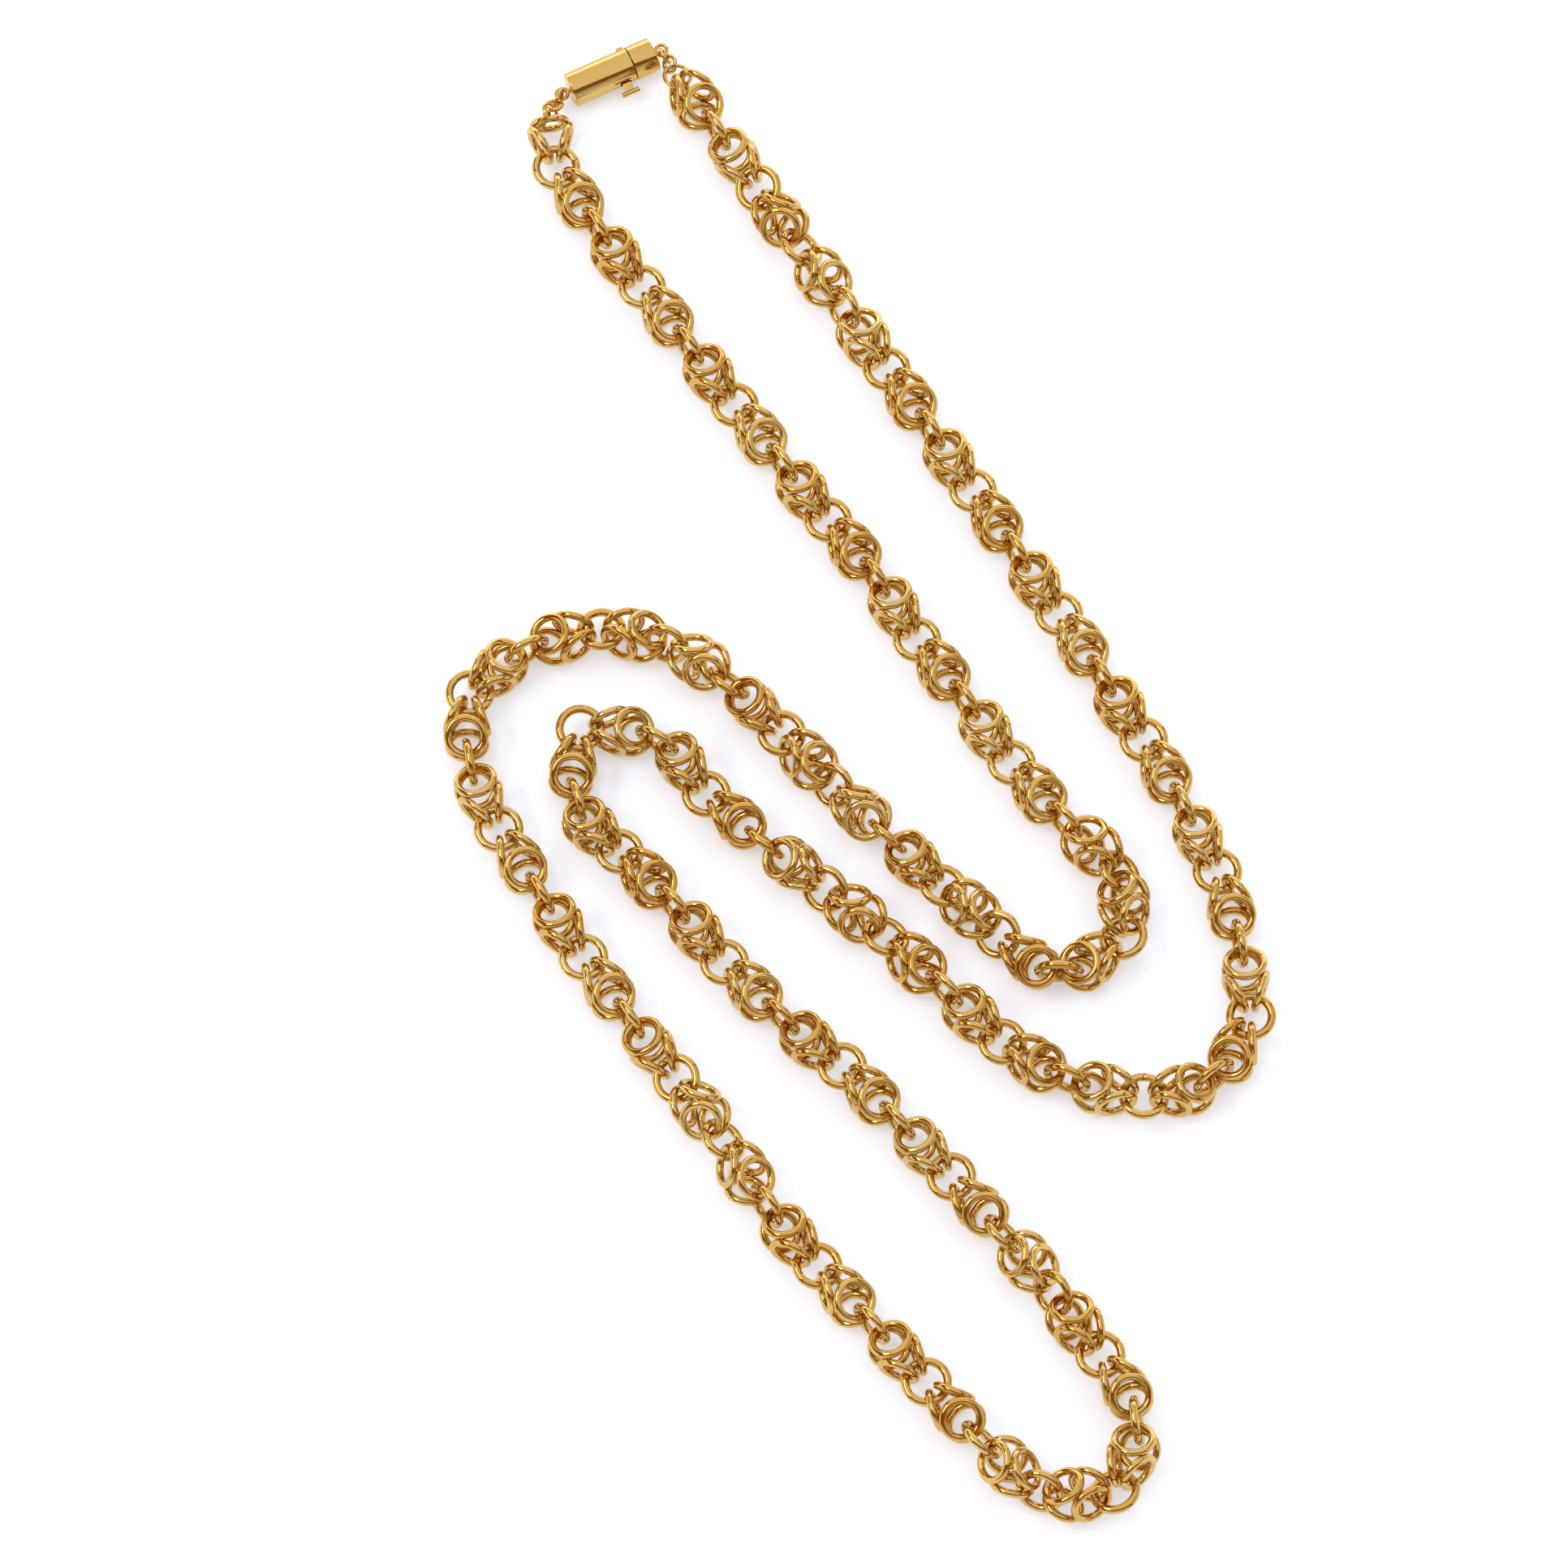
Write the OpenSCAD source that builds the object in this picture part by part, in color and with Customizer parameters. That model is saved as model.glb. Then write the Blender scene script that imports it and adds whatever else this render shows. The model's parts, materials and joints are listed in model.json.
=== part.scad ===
// Sautoir necklace of soldered ring knots, closed by a barrel clasp.
// Millimetres. It lies on z = 0, x to the right, y away from the viewer.

/* [Knots] */
// round wire of the four rings in a knot
knot_wire = 1.28; // [1.26:0.01:1.3]
// radius of a knot's ring, to the middle of its wire
knot_radius = 3; // [2.99:0.01:3.02]
// height of a pair's splayed end above the axis of the knot
wide_half = 3.36; // [3.34:0.01:3.38]
// height of a pair's closed end above the axis of the knot
narrow_half = 0.8; // [0.78:0.01:0.82]
// distance of each pair from the middle, where the wires just run together
pair_shift = 2.165; // [2.15:0.005:2.175]

/* [Connecting rings] */
// round wire of a connecting ring
ring_wire = 1.38; // [1.3:0.01:1.4]
// radius of a connecting ring, to the middle of its wire
ring_radius = 3.38; // [3.36:0.01:3.42]

/* [Clasp] */
// outside diameter of the barrel
barrel_d = 5.9; // [5.8:0.1:6]
// length of the closed clasp without its eyes
clasp_length = 15.4; // [15.2:0.1:15.6]
// length of the long half, up to the seam
barrel_length = 11.1; // [10.9:0.1:11.3]
// gap at the seam
seam_gap = 0.12; // [0.1:0.01:0.15]
// wall of the barrel and of the cap
wall = 0.7; // [0.6:0.05:0.75]
// fine wire of the eyes and the jump rings
fine_wire = 0.66; // [0.6:0.01:0.7]
// how far the thumb piece goes in
thumb_travel = 0.6; // [0.4:0.1:0.6]

/* [Hidden] */
knots = 78;
half_knots = 39;

// Course seen from above: number of the connecting ring, x, y
COURSE = [
    [0, -18.6, 126.8],
    [1, -11.3, 116.1],
    [10, 51.7, 18.7],
    [13, 70.0, -15.0],
    [15, 75.0, -39.7],
    [16, 69.8, -51.2],
    [18, 45.1, -50.8],
    [21, 16.4, -26.2],
    [24, -12.6, -1.7],
    [25, -19.9, 8.8],
    [26, -33.1, 9.6],
    [27, -35.2, -3.4],
    [28, -26.6, -11.6],
    [29, -17.9, -20.6],
    [30, -9.6, -30.5],
    [31, -0.7, -39.9],
    [32, 9.3, -48.1],
    [35, 35.0, -76.2],
    [37, 50.1, -96.2],
    [38, 57.3, -106.9],
    [39, 52.3, -118.9],
    [40, 40.0, -119.5],
    [41, 31.2, -110.2],
    [45, -3.0, -71.7],
    [46, -9.7, -60.6],
    [49, -32.3, -29.7],
    [52, -51.8, 3.6],
    [53, -51.1, 15.8],
    [54, -42.4, 24.0],
    [55, -29.8, 26.9],
    [56, -19.0, 24.8],
    [57, -8.8, 17.7],
    [59, 7.9, -0.4],
    [61, 25.7, -17.5],
    [62, 34.4, -25.9],
    [63, 44.2, -34.1],
    [64, 54.8, -26.4],
    [65, 54.7, -15.0],
    [66, 45.1, -6.5],
    [67, 36.9, 3.7],
    [68, 29.4, 14.5],
    [69, 21.7, 25.1],
    [70, 15.0, 36.0],
    [71, 7.2, 46.1],
    [72, -0.4, 56.0],
    [74, -15.8, 77.1],
    [77, -37.9, 109.1],
    [78, -39.8, 122.1]
];

// Twist gained along the chain: number of the connecting ring, degrees
TWIST = [
    [0, -24], [1, 0], [3, 50], [5, 85], [14, 88], [16, 98], [20, 96],
    [24, 182], [28, 172], [34, 182], [37, 268], [40, 304],
    [42, 360], [45, 372], [48, 452], [54, 448], [56, 426],
    [58, 358], [63, 180], [64, 162], [66, 96], [78, 92]
];

// middle of the necklace's outline, moved onto the origin
middle = [11.79, 4.65];

function spot(i) = [COURSE[i][1], COURSE[i][2]];

function row_before(k, i = 0) =
    i + 2 >= len(COURSE) || COURSE[i + 1][0] > k ? i : row_before(k, i + 1);

function slope(i) =
    let (a = max(i - 1, 0), b = min(i + 1, len(COURSE) - 1))
    (spot(b) - spot(a)) / (COURSE[b][0] - COURSE[a][0]);

function course(k) =
    let (
        i = row_before(k),
        span = COURSE[i + 1][0] - COURSE[i][0],
        t = (k - COURSE[i][0]) / span
    )
    (2 * pow(t, 3) - 3 * pow(t, 2) + 1) * spot(i)
    + (pow(t, 3) - 2 * pow(t, 2) + t) * span * slope(i)
    + (3 * pow(t, 2) - 2 * pow(t, 3)) * spot(i + 1)
    + (pow(t, 3) - pow(t, 2)) * span * slope(i + 1);

// turning point of the chain at every connecting ring
turns = [for (k = [0 : knots]) course(k) - middle];

// direction of every knot's axis, the first one at index 1
axes = [
    for (k = [0 : knots])
        let (step = turns[max(k, 1)] - turns[max(k, 1) - 1])
        step / norm(step)
];

pair_half = (wide_half + narrow_half) / 2;
pair_tilt = asin((wide_half - narrow_half) / 2 / knot_radius);

function heading(v) = atan2(v[1], v[0]);

function ring_roll(k) = 90 * k + lookup(k, TWIST);

function knot_roll(k) = 90 * k + (lookup(k, TWIST) + lookup(k - 1, TWIST)) / 2;

function pair_rise(c) =
    abs(c) * pair_half
    + knot_radius * sqrt(1 - pow(cos(pair_tilt) * c, 2))
    + knot_wire / 2;

// height of a knot's axis when the knot rests on the surface
function knot_height(k) =
    max(pair_rise(cos(knot_roll(k))), pair_rise(sin(knot_roll(k))));

function ring_height(k) =
    max((knot_height(k) + knot_height(k + 1)) / 2, ring_radius + ring_wire / 2);

// an upright ring sits between the two places that hold it, a flat one at the turn
function ring_spot(k) =
    turns[k]
    + pow(sin(ring_roll(k)), 2) * ring_radius / 2 * (axes[k + 1] - axes[k]);

module ring(radius, thick) {
    rotate_extrude($fn = 48)
        translate([radius, 0])
            circle(d = thick, $fn = 20);
}

module at_knot(k) {
    centre = (turns[k - 1] + turns[k]) / 2;
    translate([centre[0], centre[1], knot_height(k)])
        rotate([knot_roll(k), 0, heading(axes[k])])
            children();
}

// two rings one above the other, splayed towards the middle of the knot
module first_pair() {
    for (side = [-1, 1])
        translate([-pair_shift, 0, side * pair_half])
            rotate([0, -side * pair_tilt, 0])
                ring(knot_radius, knot_wire);
}

// two rings side by side, splayed towards the middle of the knot
module second_pair() {
    for (side = [-1, 1])
        translate([pair_shift, side * pair_half, 0])
            rotate([90, 0, -side * pair_tilt])
                ring(knot_radius, knot_wire);
}

module knot(k) {
    at_knot(k) {
        first_pair();
        second_pair();
    }
}

module connecting_ring(k) {
    place = ring_spot(k);
    translate([place[0], place[1], ring_height(k)])
        rotate([ring_roll(k), 0, heading(axes[k] + axes[k + 1])])
            ring(ring_radius, ring_wire);
}

module chain_right() {
    for (k = [1 : half_knots]) {
        knot(k);
        if (k < half_knots)
            connecting_ring(k);
    }
}

end_ring_radius = 2.75;
end_ring_shift = 1.585;
end_ring_lean = 6;
end_ring_spot = (turns[knots - 1] + turns[knots]) / 2 + end_ring_shift * axes[knots];
end_ring_middle = [end_ring_spot[0], end_ring_spot[1], knot_height(knots)];

// last knot, with one ring in place of its outer pair that leans back from the clasp
module end_knot() {
    at_knot(knots)
        first_pair();
    translate(end_ring_middle)
        rotate([0, 90 - end_ring_lean, heading(axes[knots])])
            ring(end_ring_radius, knot_wire);
}

module chain_left() {
    for (k = [half_knots : knots - 1]) {
        connecting_ring(k);
        if (k > half_knots)
            knot(k);
    }
    end_knot();
}

barrel_r = barrel_d / 2;
bore_r = barrel_r - wall;
clasp_middle = [-28.82, 127.09] - middle;
clasp_turn = 26;
barrel_start = -clasp_length / 2;
seam = barrel_start + barrel_length;
cap_start = seam + seam_gap;
cap_end = clasp_length / 2;
edge = 0.18;
eye_radius = 0.95;
eye_reach = 1.5;
neck_d = fine_wire + 0.1;

module at_clasp() {
    translate([clasp_middle[0], clasp_middle[1], barrel_r])
        rotate([0, 0, clasp_turn])
            children();
}

// half a barrel, open at the far end, from start on the x axis
module cup(length) {
    rotate([0, 90, 0])
        rotate_extrude($fn = 96)
            polygon([
                [0, 0],
                [barrel_r - edge, 0],
                [barrel_r, edge],
                [barrel_r, length - edge / 2],
                [barrel_r - edge / 2, length],
                [bore_r, length],
                [bore_r, wall],
                [0, wall]
            ]);
}

// wire eye on a short neck, standing out from a disc at the origin along -x
module eye() {
    translate([-eye_reach, 0, 0])
        ring(eye_radius, fine_wire);
    translate([eye_radius - eye_reach - fine_wire / 4, 0, 0])
        rotate([0, 90, 0])
            cylinder(h = eye_reach - eye_radius + wall / 2, d = neck_d, $fn = 32);
}

thumb_at = seam - 2.1;
slot_long = 2;
slot_high = 1;
slot_over = 1;
slot_under = 0.4;
stem_long = 1.6;
stem_high = 0.6;
plate_long = 2.6;
plate_thick = 0.4;
plate_out = 2;
// the bar's middle still stands this far off the barrel when it is pressed in
bar_clear = 1.2;
bar_out = barrel_r + bar_clear + thumb_travel;
bar_d = 0.86;
bar_long = 3.1;

module slot() {
    translate([thumb_at - slot_long / 2, -barrel_r - slot_over, -slot_high / 2])
        cube([slot_long, slot_over + wall + slot_under, slot_high]);
}

lug_long = 1.2;
lug_d = 0.8;
lug_turn = 20;
lug_back = 0.1;
lug_sink = 0.05;

// small soldered lug on the far side, next to the seam
module lug() {
    rotate([lug_turn, 0, 0])
        translate([seam - lug_long - lug_back, barrel_r - lug_sink, 0])
            rotate([0, 90, 0])
                cylinder(h = lug_long, d = lug_d, $fn = 32);
}

module clasp_barrel() {
    at_clasp() {
        difference() {
            union() {
                translate([barrel_start, 0, 0])
                    cup(barrel_length);
                lug();
            }
            slot();
        }
        translate([barrel_start, 0, 0])
            eye();
    }
}

tongue_wide = 2.2;
tongue_thick = 0.8;
tongue_reach = 5;

module clasp_cap() {
    at_clasp() {
        translate([cap_end, 0, 0])
            mirror([1, 0, 0])
                cup(cap_end - cap_start);
        translate([seam - tongue_reach, -tongue_thick / 2, -tongue_wide / 2])
            cube([cap_end - wall / 2 - seam + tongue_reach, tongue_thick, tongue_wide]);
        translate([cap_end, 0, 0])
            mirror([1, 0, 0])
                eye();
    }
}

// T-shaped press that stands out of the slot, kept in by a plate behind the wall
module thumb_piece() {
    at_clasp()
        translate([thumb_at, 0, 0]) {
            translate([-plate_long / 2, -plate_out, -stem_high / 2])
                cube([plate_long, plate_thick, stem_high]);
            translate([-stem_long / 2, -bar_out, -stem_high / 2])
                cube([stem_long, bar_out - plate_out + plate_thick / 2, stem_high]);
            translate([-bar_long / 2, -bar_out, 0])
                rotate([0, 90, 0])
                    cylinder(h = bar_long, d = bar_d, $fn = 40);
        }
}

function clasp_spot(along) = [
    clasp_middle[0] + along * cos(clasp_turn),
    clasp_middle[1] + along * sin(clasp_turn),
    barrel_r
];

// middle of the barrel's eye, and the place on the end ring that holds the last jump ring
left_from = clasp_spot(barrel_start - eye_reach);
end_ring_angle = -19;
left_to = end_ring_middle + end_ring_radius * [
    axes[knots][1] * sin(end_ring_angle)
        - axes[knots][0] * sin(end_ring_lean) * cos(end_ring_angle),
    -axes[knots][0] * sin(end_ring_angle)
        - axes[knots][1] * sin(end_ring_lean) * cos(end_ring_angle),
    cos(end_ring_lean) * cos(end_ring_angle)
];

// middle of the cap's eye, and the inside of the first knot's closed end
right_from = clasp_spot(cap_end + eye_reach);
right_hold = 3.84;
right_middle = (turns[0] + turns[1]) / 2 - right_hold * axes[1];
right_to = [right_middle[0], right_middle[1], knot_height(1)];

// Jump rings between an eye and the chain: distance from the eye, turn, radius;
// a negative distance is measured back from the chain
LEFT_RUN = [
    [1.42, 89.5, 1.51],
    [3.49, 15, 1.35],
    [5.18, -35, 1.37],
    [-0.38, 87.5, 1.68]
];
RIGHT_RUN = [
    [1.33, -68, 1.3],
    [3.2, 52, 1.38],
    [-1.48, -11, 2.19]
];

module jump_ring(start, end, row) {
    length = norm(end - start);
    way = (end - start) / length;
    distance = row[0] < 0 ? length + row[0] : row[0];
    translate(start + distance * way)
        rotate([0, -asin(way[2]), heading(way)])
            rotate([row[1], 0, 0])
                ring(row[2], fine_wire);
}

module jump_ring_a() {
    jump_ring(left_from, left_to, LEFT_RUN[0]);
}

module jump_ring_b() {
    jump_ring(left_from, left_to, LEFT_RUN[1]);
}

module jump_ring_c() {
    jump_ring(left_from, left_to, LEFT_RUN[2]);
}

module jump_ring_d() {
    jump_ring(left_from, left_to, LEFT_RUN[3]);
}

module jump_ring_e() {
    jump_ring(right_from, right_to, RIGHT_RUN[0]);
}

module jump_ring_f() {
    jump_ring(right_from, right_to, RIGHT_RUN[1]);
}

module jump_ring_g() {
    jump_ring(right_from, right_to, RIGHT_RUN[2]);
}

gold = [0.83, 0.66, 0.28];

color(gold) chain_right();
color(gold) chain_left();
color(gold) clasp_barrel();
color(gold) clasp_cap();
color(gold) thumb_piece();
color(gold) jump_ring_a();
color(gold) jump_ring_b();
color(gold) jump_ring_c();
color(gold) jump_ring_d();
color(gold) jump_ring_e();
color(gold) jump_ring_f();
color(gold) jump_ring_g();
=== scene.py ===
"""Gold sautoir necklace: soldered ring knots, connecting rings and a barrel clasp.

Sizes are in millimetres and the scene in metres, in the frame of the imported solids.
"""

from __future__ import annotations

import json
import logging
import math
from dataclasses import dataclass, field
from enum import Enum
from typing import Callable, Iterable, NamedTuple

import bpy
from mathutils import Matrix, Vector

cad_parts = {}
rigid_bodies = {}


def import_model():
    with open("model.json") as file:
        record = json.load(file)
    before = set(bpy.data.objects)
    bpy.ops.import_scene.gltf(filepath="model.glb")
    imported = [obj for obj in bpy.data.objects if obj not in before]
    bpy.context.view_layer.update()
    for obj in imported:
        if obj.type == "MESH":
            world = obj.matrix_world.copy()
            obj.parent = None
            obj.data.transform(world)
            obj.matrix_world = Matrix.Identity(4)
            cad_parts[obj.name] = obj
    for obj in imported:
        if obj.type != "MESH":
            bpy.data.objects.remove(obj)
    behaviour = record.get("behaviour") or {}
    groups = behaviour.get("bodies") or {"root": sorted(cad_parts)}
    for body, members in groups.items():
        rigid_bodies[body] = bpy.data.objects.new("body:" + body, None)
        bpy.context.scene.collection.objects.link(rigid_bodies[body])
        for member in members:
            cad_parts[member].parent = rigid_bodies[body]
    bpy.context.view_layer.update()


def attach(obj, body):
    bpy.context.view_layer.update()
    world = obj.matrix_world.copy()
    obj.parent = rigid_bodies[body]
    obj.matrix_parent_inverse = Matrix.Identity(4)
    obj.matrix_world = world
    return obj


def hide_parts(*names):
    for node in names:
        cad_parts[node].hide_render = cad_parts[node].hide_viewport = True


logging.basicConfig(level=logging.INFO, format="%(message)s")
LOG = logging.getLogger("sautoir")

MM = 0.001
NECKLACE_BODY = "necklace"
THUMB_BODY = "thumb"
TONE = "ring_tone"

# Fraction of the golden ratio, which spreads the rings' tones evenly.
TONE_STEP = 0.618
# Places closer than this are taken as one, in metres.
NEAR = 1e-6
# A face whose normal points this much along the axis closes an end of a rod.
END_FACING = 0.9
# Angles past which an edge stays sharp, in degrees.
WIRE_CREASE = 60
CLASP_CREASE = 35
# Sockets of a colour Mix node, whose names are also those of its other data types.
MIX_A, MIX_B, MIX_RESULT = 6, 7, 2


class Roll(Enum):
    """How a connecting ring lies."""

    FLAT = "flat"
    UPRIGHT = "upright"


class CourseRow(NamedTuple):
    """Place of one connecting ring seen from above, before the outline is centred."""

    ring: int
    x: float
    y: float


class TwistRow(NamedTuple):
    """Twist gained by the chain up to one connecting ring."""

    ring: int
    degrees: float


COURSE_ROWS = (
    (0, -18.6, 126.8), (1, -11.3, 116.1), (10, 51.7, 18.7), (13, 70.0, -15.0),
    (15, 75.0, -39.7), (16, 69.8, -51.2), (18, 45.1, -50.8), (21, 16.4, -26.2),
    (24, -12.6, -1.7), (25, -19.9, 8.8), (26, -33.1, 9.6), (27, -35.2, -3.4),
    (28, -26.6, -11.6), (29, -17.9, -20.6), (30, -9.6, -30.5), (31, -0.7, -39.9),
    (32, 9.3, -48.1), (35, 35.0, -76.2), (37, 50.1, -96.2), (38, 57.3, -106.9),
    (39, 52.3, -118.9), (40, 40.0, -119.5), (41, 31.2, -110.2), (45, -3.0, -71.7),
    (46, -9.7, -60.6), (49, -32.3, -29.7), (52, -51.8, 3.6), (53, -51.1, 15.8),
    (54, -42.4, 24.0), (55, -29.8, 26.9), (56, -19.0, 24.8), (57, -8.8, 17.7),
    (59, 7.9, -0.4), (61, 25.7, -17.5), (62, 34.4, -25.9), (63, 44.2, -34.1),
    (64, 54.8, -26.4), (65, 54.7, -15.0), (66, 45.1, -6.5), (67, 36.9, 3.7),
    (68, 29.4, 14.5), (69, 21.7, 25.1), (70, 15.0, 36.0), (71, 7.2, 46.1),
    (72, -0.4, 56.0), (74, -15.8, 77.1), (77, -37.9, 109.1), (78, -39.8, 122.1),
)

TWIST_ROWS = (
    (0, -24), (1, 0), (3, 50), (5, 85), (14, 88), (16, 98), (20, 96), (24, 182),
    (28, 172), (34, 182), (37, 268), (40, 304), (42, 360), (45, 372), (48, 452),
    (54, 448), (56, 426), (58, 358), (63, 180), (64, 162), (66, 96), (78, 92),
)


def linear(colour: str) -> tuple[float, float, float, float]:
    """Turns an sRGB hex colour into linear values.

    Args:
        colour: Six hex digits after a hash.

    Returns:
        Red, green, blue and alpha as Blender's sockets take them.
    """
    parts = [int(colour[i : i + 2], 16) / 255 for i in (1, 3, 5)]
    made = [c / 12.92 if c <= 0.04045 else ((c + 0.055) / 1.055) ** 2.4 for c in parts]
    return (made[0], made[1], made[2], 1.0)


def per_metre(size_mm: float) -> float:
    """Texture scale whose features are size_mm across in Object coordinates."""
    return 1.0 / (size_mm * MM)


def add_node(
    tree: bpy.types.NodeTree,
    kind: str,
    values: dict[str, object] | None = None,
    links: dict[str, bpy.types.NodeSocket] | None = None,
    **settings: object,
) -> bpy.types.Node:
    """Adds a node with its settings, socket values and incoming links.

    Args:
        tree: Node tree that gets the node.
        kind: Blender's type name of the node.
        values: Input socket name to constant.
        links: Input socket name to the output socket that feeds it.
        settings: Attributes of the node itself.

    Returns:
        The new node.
    """
    node = tree.nodes.new(kind)
    for name, value in settings.items():
        setattr(node, name, value)
    for name, value in (values or {}).items():
        node.inputs[name].default_value = value
    for name, source in (links or {}).items():
        tree.links.new(source, node.inputs[name])
    return node


@dataclass(frozen=True)
class PolishedGold:
    """Eighteen carat yellow gold, drawn or turned and then tumbled bright.

    The eye gets a warm mirror that is a little soft, with a faint unevenness from
    wear that keeps the highlights from being ruler straight.
    """

    name: str
    pale: str = "#E0C382"
    deep: str = "#DAB46A"
    smoothest: float = 0.05
    roughest: float = 0.12
    wear_mm: float = 2.4
    ripple_mm: float = 0.9
    ripple_depth_mm: float = 0.006

    def make(self) -> bpy.types.Material:
        """Builds the material.

        Returns:
            The new material.
        """
        material = bpy.data.materials.new(self.name)
        material.use_nodes = True
        tree = material.node_tree
        tree.nodes.clear()
        place = add_node(tree, "ShaderNodeTexCoord").outputs["Object"]
        tone = add_node(tree, "ShaderNodeAttribute", attribute_name=TONE).outputs["Fac"]
        wear = add_node(
            tree,
            "ShaderNodeTexNoise",
            {"Scale": per_metre(self.wear_mm), "Detail": 3.0, "Roughness": 0.55},
            {"Vector": place},
        )
        ripple = add_node(
            tree,
            "ShaderNodeTexNoise",
            {"Scale": per_metre(self.ripple_mm), "Detail": 1.5, "Roughness": 0.4},
            {"Vector": place},
        )
        colour = add_node(tree, "ShaderNodeMix", links={"Factor": tone}, data_type="RGBA")
        colour.inputs[MIX_A].default_value = linear(self.pale)
        colour.inputs[MIX_B].default_value = linear(self.deep)
        rough = add_node(
            tree,
            "ShaderNodeMapRange",
            {"From Min": 0.3, "From Max": 0.7, "To Min": self.smoothest, "To Max": self.roughest},
            {"Value": wear.outputs["Fac"]},
        )
        bump = add_node(
            tree,
            "ShaderNodeBump",
            {"Strength": 0.35, "Distance": self.ripple_depth_mm * MM},
            {"Height": ripple.outputs["Fac"]},
        )
        shader = add_node(
            tree,
            "ShaderNodeBsdfPrincipled",
            {"Metallic": 1.0},
            {
                "Base Color": colour.outputs[MIX_RESULT],
                "Roughness": rough.outputs["Result"],
                "Normal": bump.outputs["Normal"],
            },
        )
        add_node(tree, "ShaderNodeOutputMaterial", links={"Surface": shader.outputs[0]})
        return material


@dataclass(frozen=True)
class OpalAcrylic:
    """Matt opal acrylic of a product table, lit a little from below.

    The eye gets a bare white ground whose shadows are very light.
    """

    name: str = "opal_acrylic"
    colour: str = "#EEF4FE"
    glow: float = 0.41
    grain_mm: float = 1.5
    grain_depth_mm: float = 0.02

    def make(self) -> bpy.types.Material:
        """Builds the material.

        Returns:
            The new material.
        """
        material = bpy.data.materials.new(self.name)
        material.use_nodes = True
        tree = material.node_tree
        tree.nodes.clear()
        place = add_node(tree, "ShaderNodeTexCoord").outputs["Object"]
        grain = add_node(
            tree, "ShaderNodeTexNoise", {"Scale": per_metre(self.grain_mm)}, {"Vector": place}
        )
        bump = add_node(
            tree,
            "ShaderNodeBump",
            {"Strength": 0.1, "Distance": self.grain_depth_mm * MM},
            {"Height": grain.outputs["Fac"]},
        )
        shader = add_node(
            tree,
            "ShaderNodeBsdfPrincipled",
            {
                "Base Color": linear(self.colour),
                "Roughness": 0.75,
                "Emission Color": linear(self.colour),
                "Emission Strength": self.glow,
            },
            {"Normal": bump.outputs["Normal"]},
        )
        add_node(tree, "ShaderNodeOutputMaterial", links={"Surface": shader.outputs[0]})
        return material


def select_only(*objects: bpy.types.Object) -> None:
    """Deselects everything, then selects these objects and makes the first one active."""
    for other in bpy.context.view_layer.objects:
        other.select_set(False)
    for obj in objects:
        obj.select_set(True)
    bpy.context.view_layer.objects.active = objects[0]


def place_in_mesh(obj: bpy.types.Object, matrix: Matrix) -> None:
    """Moves a piece by its mesh, so that its object stays at the origin."""
    obj.data.transform(matrix)
    obj.data.update()


def settle(obj: bpy.types.Object) -> None:
    """Applies a new primitive's place, turn and scale to its mesh."""
    select_only(obj)
    bpy.ops.object.transform_apply(location=True, rotation=True, scale=True)


def apply_modifier(obj: bpy.types.Object, kind: str, **settings: object) -> None:
    """Adds a modifier with these settings and applies it at once."""
    select_only(obj)
    modifier = obj.modifiers.new(kind.lower(), kind)
    for name, value in settings.items():
        setattr(modifier, name, value)
    bpy.ops.object.modifier_apply(modifier=modifier.name)


def combine(obj: bpy.types.Object, tool: bpy.types.Object, operation: str) -> None:
    """Joins a tool shape to a piece or cuts it out, and removes the tool."""
    apply_modifier(obj, "BOOLEAN", object=tool, operation=operation, solver="EXACT")
    bpy.data.objects.remove(tool, do_unlink=True)


def select_faces(obj: bpy.types.Object, wanted: Callable[[Vector, Vector], bool]) -> None:
    """Selects, in edit mode, the faces whose centre and normal pass a test.

    Args:
        obj: Piece to select on.
        wanted: Takes a face's centre and normal, in metres.
    """
    select_only(obj)
    bpy.ops.object.mode_set(mode="EDIT")
    bpy.ops.mesh.select_mode(type="FACE")
    bpy.ops.mesh.select_all(action="DESELECT")
    bpy.ops.object.mode_set(mode="OBJECT")
    for face in obj.data.polygons:
        face.select = wanted(face.center, face.normal)
    bpy.ops.object.mode_set(mode="EDIT")


def select_edges(obj: bpy.types.Object, wanted: Callable[[Vector, Vector], bool]) -> None:
    """Selects, in edit mode, the edges whose two ends pass a test.

    Args:
        obj: Piece to select on.
        wanted: Takes an edge's two ends, in metres.
    """
    select_only(obj)
    bpy.ops.object.mode_set(mode="EDIT")
    bpy.ops.mesh.select_mode(type="EDGE")
    bpy.ops.mesh.select_all(action="DESELECT")
    bpy.ops.object.mode_set(mode="OBJECT")
    corners = obj.data.vertices
    for edge in obj.data.edges:
        edge.select = wanted(corners[edge.vertices[0]].co, corners[edge.vertices[1]].co)
    bpy.ops.object.mode_set(mode="EDIT")


def leave_edit() -> None:
    """Goes back to object mode."""
    bpy.ops.object.mode_set(mode="OBJECT")


def set_tone(obj: bpy.types.Object, tone: float) -> None:
    """Gives every point of a piece its share of the deeper gold, from 0 to 1."""
    mesh = obj.data
    layer = mesh.attributes.get(TONE) or mesh.attributes.new(TONE, "FLOAT", "POINT")
    layer.data.foreach_set("value", [tone] * len(mesh.vertices))


def tone_of(number: int) -> float:
    """Even spread of tones, so that neighbouring rings differ a little."""
    return (number * TONE_STEP) % 1.0


def smooth(obj: bpy.types.Object, degrees: float) -> None:
    """Shades a piece smooth, apart from edges sharper than an angle."""
    select_only(obj)
    bpy.ops.object.shade_smooth_by_angle(angle=math.radians(degrees))


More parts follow.
